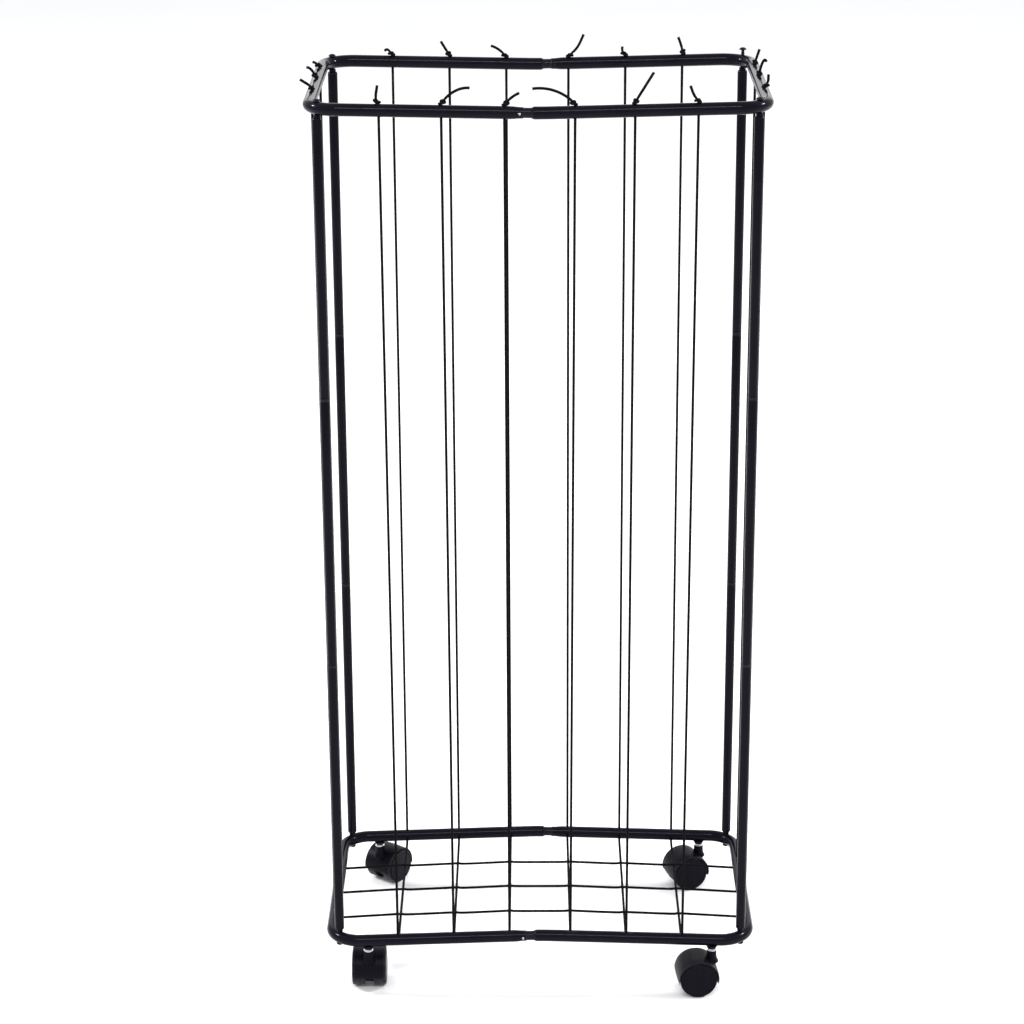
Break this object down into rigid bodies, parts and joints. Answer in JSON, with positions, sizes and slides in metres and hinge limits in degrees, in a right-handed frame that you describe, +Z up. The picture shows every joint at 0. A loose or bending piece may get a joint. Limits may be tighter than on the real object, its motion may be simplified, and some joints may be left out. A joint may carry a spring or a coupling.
{
  "type": "rolling elastic-cord cage",
  "caption": "Tall open-top cage on swivel casters: rounded tube rings at top and bottom on jointed posts, walled and floored with knotted elastic cords.",
  "frame": {"origin": "on the floor, under the middle of the whole footprint, casters included; the tube frame's own middle is 3 mm to +X and 12.5 mm to -Y of it, because the casters trail unevenly", "axes": "+Z up; +X to the right along the long side of the rings, as seen from the front; +Y from the front to the back"},
  "size_m": [0.5853, 0.3989, 1.2491],
  "materials": {
    "ring_paint": "gloss black powder coat on steel tube",
    "post_paint": "gloss black powder coat on steel tube",
    "joint_pin": "bright zinc plate",
    "frame_screw": "black oxide",
    "elastic_cord": "matt black braided sheath over a rubber core",
    "caster_stem": "bright plated",
    "caster_hood": "satin moulded nylon",
    "caster_axle": "plain steel",
    "caster_wheel": "satin moulded nylon"
  },
  "bodies": {
    "root": {"top_ring_left_half": "ring_paint", "top_ring_right_half": "ring_paint", "bottom_ring_left_half": "ring_paint", "bottom_ring_right_half": "ring_paint", "top_front_joint_pin": "joint_pin", "top_back_joint_pin": "joint_pin", "bottom_front_joint_pin": "joint_pin", "bottom_back_joint_pin": "joint_pin", "post_front_left_lower": "post_paint", "post_front_left_middle": "post_paint", "post_front_left_upper": "post_paint", "post_front_right_lower": "post_paint", "post_front_right_middle": "post_paint", "post_front_right_upper": "post_paint", "post_back_left_lower": "post_paint", "post_back_left_middle": "post_paint", "post_back_left_upper": "post_paint", "post_back_right_lower": "post_paint", "post_back_right_middle": "post_paint", "post_back_right_upper": "post_paint", "top_screw_front_left": "frame_screw", "top_screw_front_right": "frame_screw", "top_screw_back_left": "frame_screw", "top_screw_back_right": "frame_screw", "bottom_screw_front_left": "frame_screw", "bottom_screw_front_right": "frame_screw", "bottom_screw_back_left": "frame_screw", "bottom_screw_back_right": "frame_screw", "depth_cord_1": "elastic_cord", "depth_cord_2": "elastic_cord", "depth_cord_3": "elastic_cord", "depth_cord_4": "elastic_cord", "depth_cord_5": "elastic_cord", "depth_cord_6": "elastic_cord", "width_cord_front": "elastic_cord", "width_cord_middle": "elastic_cord", "width_cord_back": "elastic_cord", "caster_front_left_stem": "caster_stem", "caster_front_right_stem": "caster_stem", "caster_back_left_stem": "caster_stem", "caster_back_right_stem": "caster_stem"},
    "front_left_swivel": {"caster_front_left_hood": "caster_hood", "caster_front_left_axle": "caster_axle"},
    "front_left_left_wheel": {"caster_front_left_left_wheel": "caster_wheel"},
    "front_left_right_wheel": {"caster_front_left_right_wheel": "caster_wheel"},
    "front_right_swivel": {"caster_front_right_hood": "caster_hood", "caster_front_right_axle": "caster_axle"},
    "front_right_left_wheel": {"caster_front_right_left_wheel": "caster_wheel"},
    "front_right_right_wheel": {"caster_front_right_right_wheel": "caster_wheel"},
    "back_left_swivel": {"caster_back_left_hood": "caster_hood", "caster_back_left_axle": "caster_axle"},
    "back_left_left_wheel": {"caster_back_left_left_wheel": "caster_wheel"},
    "back_left_right_wheel": {"caster_back_left_right_wheel": "caster_wheel"},
    "back_right_swivel": {"caster_back_right_hood": "caster_hood", "caster_back_right_axle": "caster_axle"},
    "back_right_left_wheel": {"caster_back_right_left_wheel": "caster_wheel"},
    "back_right_right_wheel": {"caster_back_right_right_wheel": "caster_wheel"}
  },
  "joints": [
    {"name": "front_left_caster_swivel", "type": "hinge", "parent": "root", "child": "front_left_swivel", "pos_m": [-0.228, -0.1725, 0.052], "axis": [0, 0, 1], "continuous": true},
    {"name": "front_left_left_wheel_spin", "type": "hinge", "parent": "front_left_swivel", "child": "front_left_left_wheel", "pos_m": [-0.228, -0.1525, 0.025], "axis": [-1, 0, 0], "continuous": true},
    {"name": "front_left_right_wheel_spin", "type": "hinge", "parent": "front_left_swivel", "child": "front_left_right_wheel", "pos_m": [-0.228, -0.1525, 0.025], "axis": [-1, 0, 0], "continuous": true},
    {"name": "front_right_caster_swivel", "type": "hinge", "parent": "root", "child": "front_right_swivel", "pos_m": [0.234, -0.1725, 0.052], "axis": [0, 0, 1], "continuous": true},
    {"name": "front_right_left_wheel_spin", "type": "hinge", "parent": "front_right_swivel", "child": "front_right_left_wheel", "pos_m": [0.21411, -0.17459, 0.025], "axis": [0.1045, -0.9945, 0], "continuous": true},
    {"name": "front_right_right_wheel_spin", "type": "hinge", "parent": "front_right_swivel", "child": "front_right_right_wheel", "pos_m": [0.21411, -0.17459, 0.025], "axis": [0.1045, -0.9945, 0], "continuous": true},
    {"name": "back_left_caster_swivel", "type": "hinge", "parent": "root", "child": "back_left_swivel", "pos_m": [-0.228, 0.1475, 0.052], "axis": [0, 0, 1], "continuous": true},
    {"name": "back_left_left_wheel_spin", "type": "hinge", "parent": "back_left_swivel", "child": "back_left_left_wheel", "pos_m": [-0.21624, 0.16368, 0.025], "axis": [-0.809, 0.5878, 0], "continuous": true},
    {"name": "back_left_right_wheel_spin", "type": "hinge", "parent": "back_left_swivel", "child": "back_left_right_wheel", "pos_m": [-0.21624, 0.16368, 0.025], "axis": [-0.809, 0.5878, 0], "continuous": true},
    {"name": "back_right_caster_swivel", "type": "hinge", "parent": "root", "child": "back_right_swivel", "pos_m": [0.234, 0.1475, 0.052], "axis": [0, 0, 1], "continuous": true},
    {"name": "back_right_left_wheel_spin", "type": "hinge", "parent": "back_right_swivel", "child": "back_right_left_wheel", "pos_m": [0.21521, 0.14066, 0.025], "axis": [0.342, -0.9397, 0], "continuous": true},
    {"name": "back_right_right_wheel_spin", "type": "hinge", "parent": "back_right_swivel", "child": "back_right_right_wheel", "pos_m": [0.21521, 0.14066, 0.025], "axis": [0.342, -0.9397, 0], "continuous": true}
  ]
}
